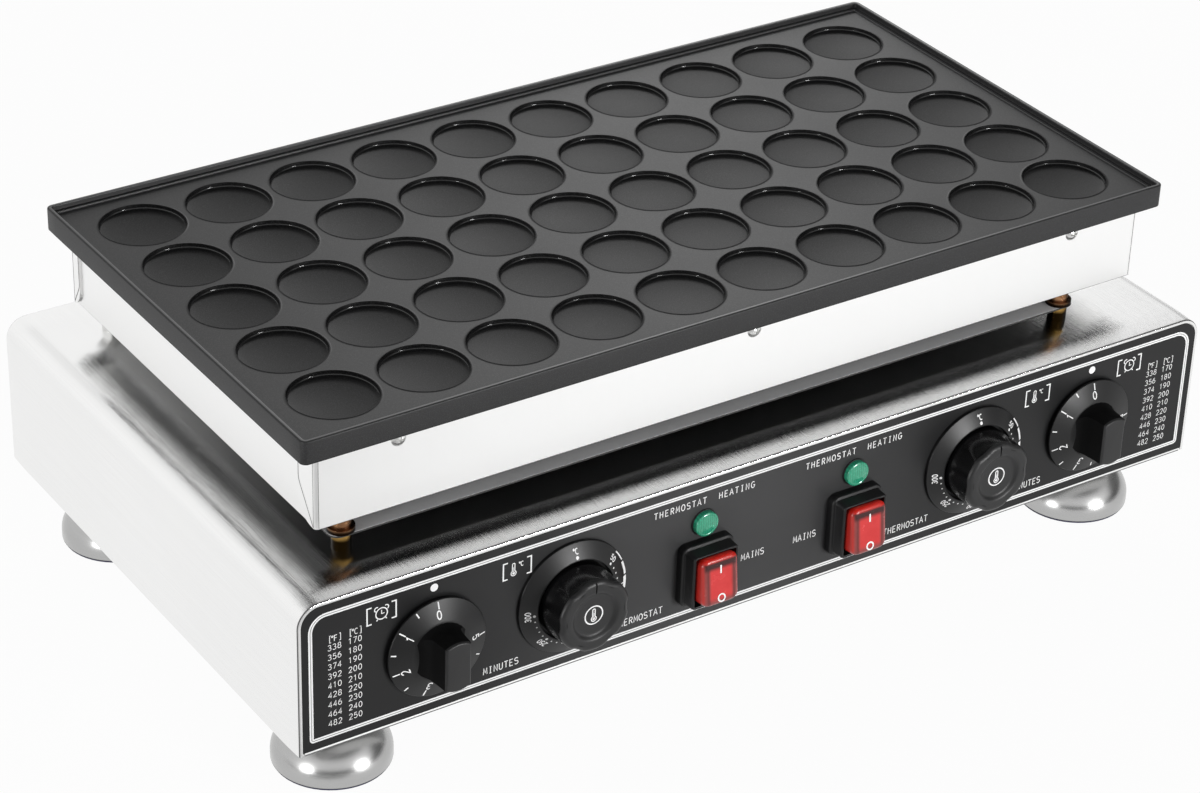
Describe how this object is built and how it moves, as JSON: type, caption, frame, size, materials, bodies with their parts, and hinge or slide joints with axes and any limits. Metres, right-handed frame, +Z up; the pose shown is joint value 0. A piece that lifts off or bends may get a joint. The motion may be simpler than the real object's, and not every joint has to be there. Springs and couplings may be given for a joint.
{
  "type": "electric muffin maker",
  "caption": "Countertop electric baker: an open cast plate of shallow round cups on a heated steel box, raised on posts above a cabinet with timer and thermostat knobs and rocker switches.",
  "frame": {"origin": "on the floor under the middle of the part", "axes": "+X to the right along the width, +Y to the back, away from the control panel, +Z up"},
  "size_m": [0.582, 0.3808, 0.2064],
  "materials": {
    "cabinet_steel": "brushed stainless sheet",
    "sheet_steel": "mill-finish galvanised sheet",
    "overlay_black": "printed satin polyester film",
    "screw_steel": "bright zinc",
    "foot_steel": "polished, softly satin",
    "pad_rubber": "dark rubber",
    "post_brass": "turned brass",
    "collar_copper": "reddish turned brass",
    "box_steel": "bright brushed stainless sheet",
    "insulation": "pressed mineral fibre",
    "plate_cast": "cast plate with matt dark non-stick coating",
    "element_steel": "heat-tinted steel tube",
    "body_plastic": "moulded",
    "bulb_copper": "drawn copper tube",
    "shaft_steel": "turned steel",
    "bezel_black": "fine-grained moulding",
    "knob_gloss": "glossy sides, satin face",
    "knob_satin": "satin moulding",
    "frame_black": "fine-grained moulding",
    "rocker_red": "translucent red",
    "lens_green": "translucent green",
    "gland_black": "moulded nylon",
    "block_plastic": "moulded"
  },
  "bodies": {
    "frame": {"base_shell": "cabinet_steel", "control_panel": "cabinet_steel", "panel_overlay": "overlay_black", "rear_panel": "cabinet_steel", "bottom_plate": "sheet_steel", "bottom_screws": "screw_steel", "foot_front_left": "foot_steel", "foot_front_right": "foot_steel", "foot_rear_left": "foot_steel", "foot_rear_right": "foot_steel", "foot_pads": "pad_rubber", "foot_bolts": "screw_steel", "foot_nuts": "screw_steel", "post_front_left": "post_brass", "post_front_right": "post_brass", "post_rear_left": "post_brass", "post_rear_right": "post_brass", "post_collars": "collar_copper", "post_nuts": "post_brass", "heat_shield": "sheet_steel", "box_front_panel": "box_steel", "box_rear_panel": "box_steel", "box_left_panel": "box_steel", "box_right_panel": "box_steel", "box_screws": "screw_steel", "box_floor": "sheet_steel", "insulation_slab": "insulation", "baking_plate": "plate_cast", "heating_element_left": "element_steel", "heating_element_right": "element_steel", "element_clamps": "sheet_steel", "clamp_screws": "screw_steel", "thermostat_body_left": "body_plastic", "thermostat_body_right": "body_plastic", "thermostat_bulb_left": "bulb_copper", "thermostat_bulb_right": "bulb_copper", "thermostat_bezel_left": "bezel_black", "thermostat_bezel_right": "bezel_black", "timer_body_left": "body_plastic", "timer_body_right": "body_plastic", "switch_frame_left": "frame_black", "switch_frame_right": "frame_black", "lamp_body_left": "frame_black", "lamp_body_right": "frame_black", "lamp_lens_left": "lens_green", "lamp_lens_right": "lens_green", "cable_gland": "gland_black", "gland_nut": "gland_black", "terminal_block": "block_plastic"},
    "timer_left": {"timer_knob_left": "knob_satin", "timer_shaft_left": "shaft_steel"},
    "thermostat_left": {"thermostat_knob_left": "knob_gloss", "thermostat_shaft_left": "shaft_steel"},
    "switch_left": {"rocker_left": "rocker_red"},
    "timer_right": {"timer_knob_right": "knob_satin", "timer_shaft_right": "shaft_steel"},
    "thermostat_right": {"thermostat_knob_right": "knob_gloss", "thermostat_shaft_right": "shaft_steel"},
    "switch_right": {"rocker_right": "rocker_red"}
  },
  "joints": [
    {"name": "timer_left_turn", "type": "hinge", "parent": "frame", "child": "timer_left", "pos_m": [-0.2125, -0.1664, 0.082], "axis": [0, 1, 0], "range_deg": [0, 270]},
    {"name": "thermostat_left_turn", "type": "hinge", "parent": "frame", "child": "thermostat_left", "pos_m": [-0.131, -0.1664, 0.084], "axis": [0, 1, 0], "range_deg": [0, 270]},
    {"name": "switch_left_tip", "type": "hinge", "parent": "frame", "child": "switch_left", "pos_m": [-0.0486, -0.1769, 0.0735], "axis": [1, 0, 0], "range_deg": [0, 25]},
    {"name": "timer_right_turn", "type": "hinge", "parent": "frame", "child": "timer_right", "pos_m": [0.2125, -0.1664, 0.082], "axis": [0, 1, 0], "range_deg": [0, 270]},
    {"name": "thermostat_right_turn", "type": "hinge", "parent": "frame", "child": "thermostat_right", "pos_m": [0.131, -0.1664, 0.084], "axis": [0, 1, 0], "range_deg": [0, 270]},
    {"name": "switch_right_tip", "type": "hinge", "parent": "frame", "child": "switch_right", "pos_m": [0.0486, -0.1769, 0.0735], "axis": [1, 0, 0], "range_deg": [0, 25]}
  ]
}
